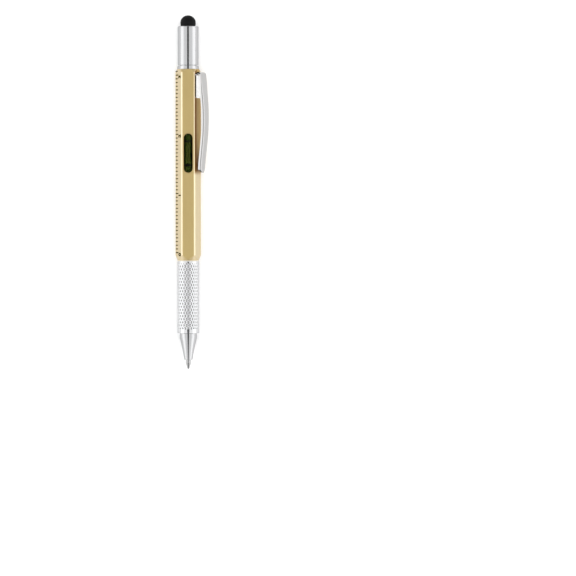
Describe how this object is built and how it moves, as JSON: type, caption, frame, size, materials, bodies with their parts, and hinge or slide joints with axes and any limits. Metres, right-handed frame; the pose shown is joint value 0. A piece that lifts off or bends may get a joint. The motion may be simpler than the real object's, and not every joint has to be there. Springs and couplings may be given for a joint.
{
  "type": "multi tool pen",
  "caption": "Metal pen with a six-sided barrel, twist-out ballpoint, stylus cap over a reversible driver bit, spirit level and spring clip.",
  "frame": {"origin": "on the barrel's back face, half way along the barrel, below the pen's axis", "axes": "+Y along the pen towards the stylus, +Z out of the face with the level window, +X towards the side that carries the clip"},
  "size_m": [0.0144, 0.1521, 0.0114],
  "materials": {
    "barrel_gold": "gold anodised, fine satin",
    "vial_clear": "clear polished acrylic",
    "level_liquid": "dark green liquid",
    "level_bubble": "air bubble",
    "black_plastic": "matt black",
    "white_plastic": "natural acetal",
    "black_rubber": "soft matt black",
    "chrome_plate": "bright chrome plate",
    "spring_steel": "polished plated spring steel",
    "tool_steel": "satin hardened steel",
    "nickel_silver": "turned nickel silver",
    "brass": "turned brass",
    "ink": "blue ballpoint paste"
  },
  "bodies": {
    "barrel": {"hex_barrel": "barrel_gold", "level_vial": "vial_clear", "vial_plug": "vial_clear", "vial_liquid": "level_liquid", "vial_mark_upper": "black_plastic", "vial_mark_lower": "black_plastic", "vial_cradle": "black_plastic", "bit_holder": "chrome_plate", "bit_magnet": "tool_steel", "cap_seal": "black_rubber", "guide_tube": "white_plastic", "guide_end_plug": "white_plastic", "thrust_washer": "white_plastic", "clip_plate": "spring_steel", "clip_rivet_upper": "spring_steel", "clip_rivet_lower": "spring_steel"},
    "bubble": {"vial_bubble": "level_bubble"},
    "cap": {"cap_tube": "chrome_plate", "stylus_plug": "brass", "stylus_tip": "black_rubber"},
    "bit": {"driver_bit": "tool_steel"},
    "clip": {"clip_arm": "spring_steel"},
    "grip": {"grip_sleeve": "chrome_plate", "cam_sleeve": "brass", "retaining_ring": "spring_steel", "drag_ring": "black_rubber", "nose_cone": "chrome_plate"},
    "refill": {"refill_carrier": "brass", "carrier_pin": "tool_steel", "refill_tube": "brass", "refill_ink": "ink", "refill_tip": "nickel_silver", "refill_ball": "tool_steel"}
  },
  "joints": [
    {"name": "cap_lift", "type": "slide", "parent": "barrel", "child": "cap", "axis": [0, 1, 0], "range_m": [0, 0.048]},
    {"name": "bit_pull", "type": "slide", "parent": "barrel", "child": "bit", "axis": [0, 1, 0], "range_m": [0, 0.0202]},
    {"name": "grip_twist", "type": "hinge", "parent": "barrel", "child": "grip", "pos_m": [0, -0.0414, 0.00487], "axis": [0, 1, 0], "range_deg": [0, 150]},
    {"name": "refill_slide", "type": "slide", "parent": "barrel", "child": "refill", "axis": [0, 1, 0], "range_m": [0, 0.005]},
    {"name": "clip_flex", "type": "hinge", "parent": "barrel", "child": "clip", "pos_m": [0.00541, 0.03845, 0.008], "axis": [-0.5, 0, 0.866], "range_deg": [0, 4], "stiffness_Nm_per_rad": 2},
    {"name": "bubble_drift", "type": "slide", "parent": "barrel", "child": "bubble", "axis": [0, 1, 0], "range_m": [-0.003, 0.003]}
  ],
  "couplings": [
    {"joint": "bit_pull", "follows": "cap_lift", "ratio": 0.42},
    {"joint": "grip_twist", "follows": "refill_slide", "rad_per_m": 523.59}
  ]
}
